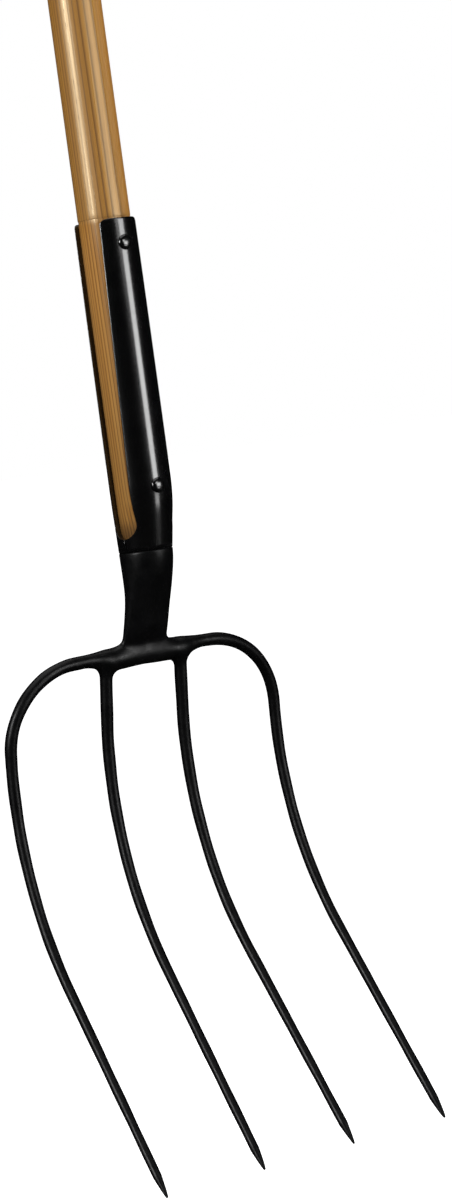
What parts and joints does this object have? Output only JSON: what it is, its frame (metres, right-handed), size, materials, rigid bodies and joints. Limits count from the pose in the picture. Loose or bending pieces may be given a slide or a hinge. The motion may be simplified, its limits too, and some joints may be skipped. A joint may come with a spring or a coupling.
{
  "type": "manure fork",
  "caption": "Long handled manure fork: forged head with slim curved tines under a crown bar, a cranked neck, and a straight ash shaft held between riveted steel straps.",
  "frame": {"origin": "on the shaft's axis, at the shoulder where the bare shaft begins just above the strap tips", "axes": "+Z along the shaft towards its butt, +X across the tines, -Y to the front, the way the tine points curve"},
  "size_m": [0.239, 0.1321, 1.6212],
  "materials": {
    "head_paint": "satin black paint",
    "strap_paint": "gloss black paint",
    "ash": "semi-gloss varnish"
  },
  "bodies": {
    "root": {"fork_head": "head_paint", "front_strap": "strap_paint", "back_strap": "strap_paint", "shaft": "ash", "upper_rivet": "strap_paint", "lower_rivet": "strap_paint"}
  },
  "joints": []
}
